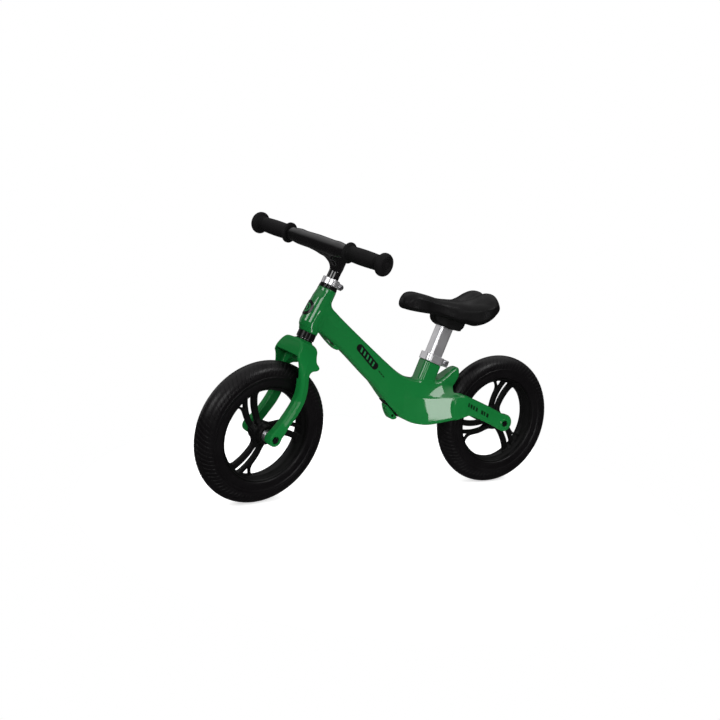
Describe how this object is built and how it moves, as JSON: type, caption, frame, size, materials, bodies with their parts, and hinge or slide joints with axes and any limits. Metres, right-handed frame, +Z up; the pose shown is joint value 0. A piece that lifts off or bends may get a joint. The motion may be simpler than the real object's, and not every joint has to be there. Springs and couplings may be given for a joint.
{
  "type": "balance bike",
  "caption": "Child's balance bike with a cast green frame and fork, foam-tyred spoked wheels, a one-piece handlebar and a height-adjustable saddle.",
  "frame": {"origin": "On the ground, under the middle of the bike's overall box with the steering turned as it stands; the frame's mid plane lies 28.7 mm to the right of it.", "axes": "+X forward, +Y to the rider's left, +Z up."},
  "size_m": [0.87, 0.3422, 0.576],
  "materials": {
    "green_paint": "gloss",
    "badge_black": "gloss",
    "black_gloss": "gloss",
    "grip_rubber": "matte",
    "tyre_foam": "matte",
    "rim_plastic": "satin",
    "black_plastic": "satin",
    "saddle_cover": "satin",
    "silver_alloy": "satin",
    "black_metal": "satin",
    "dark_steel": "satin",
    "bright_steel": "satin"
  },
  "bodies": {
    "frame": {"frame_casting": "green_paint", "head_badge": "badge_black", "lower_headset_cup": "black_metal", "upper_headset_cup": "black_metal", "lower_bearing": "bright_steel", "upper_bearing": "bright_steel", "seat_collar": "silver_alloy", "seat_collar_bolt": "bright_steel", "stand_bracket": "green_paint", "bracket_plate": "black_metal", "bracket_screws": "bright_steel", "rear_axle": "bright_steel", "rear_axle_screws": "dark_steel", "rear_spacers": "silver_alloy", "rear_hub_sleeve": "bright_steel"},
    "fork": {"fork_casting": "green_paint", "steerer_tube": "bright_steel", "crown_race": "black_metal", "headset_cap": "black_metal", "front_axle": "bright_steel", "front_axle_screws": "dark_steel", "front_spacers": "silver_alloy", "front_hub_sleeve": "bright_steel"},
    "clamp": {"stem_clamp": "silver_alloy", "stem_clamp_bolt": "bright_steel"},
    "bar": {"handlebar": "black_gloss", "left_grip": "grip_rubber", "right_grip": "grip_rubber"},
    "saddle": {"seat_post": "silver_alloy", "saddle_base": "black_plastic", "saddle_cushion": "saddle_cover", "saddle_screws": "bright_steel"},
    "rear_wheel": {"rear_tyre": "tyre_foam", "rear_rim": "rim_plastic", "rear_left_bearing": "bright_steel", "rear_right_bearing": "bright_steel"},
    "front_wheel": {"front_tyre": "tyre_foam", "front_rim": "rim_plastic", "front_left_bearing": "bright_steel", "front_right_bearing": "bright_steel"}
  },
  "joints": [
    {"name": "steering", "type": "hinge", "parent": "frame", "child": "fork", "pos_m": [0.18665, -0.02867, 0.38744], "axis": [-0.3827, 0, 0.9239], "range_deg": [-71, 49]},
    {"name": "stem_turn", "type": "hinge", "parent": "fork", "child": "clamp", "pos_m": [0.16025, -0.02867, 0.45119], "axis": [-0.3827, 0, 0.9239], "range_deg": [-100, 80]},
    {"name": "bar_height", "type": "slide", "parent": "clamp", "child": "bar", "axis": [-0.3827, 0, 0.9239], "range_m": [0, 0.035]},
    {"name": "saddle_height", "type": "slide", "parent": "frame", "child": "saddle", "axis": [-0.342, 0, 0.9397], "range_m": [-0.03, 0.035]},
    {"name": "rear_wheel_spin", "type": "hinge", "parent": "frame", "child": "rear_wheel", "pos_m": [-0.288, -0.02867, 0.148], "axis": [0, 1, 0], "continuous": true},
    {"name": "front_wheel_spin", "type": "hinge", "parent": "fork", "child": "front_wheel", "pos_m": [0.28797, -0.02829, 0.14799], "axis": [-0.1763, 0.9816, -0.073], "continuous": true}
  ]
}
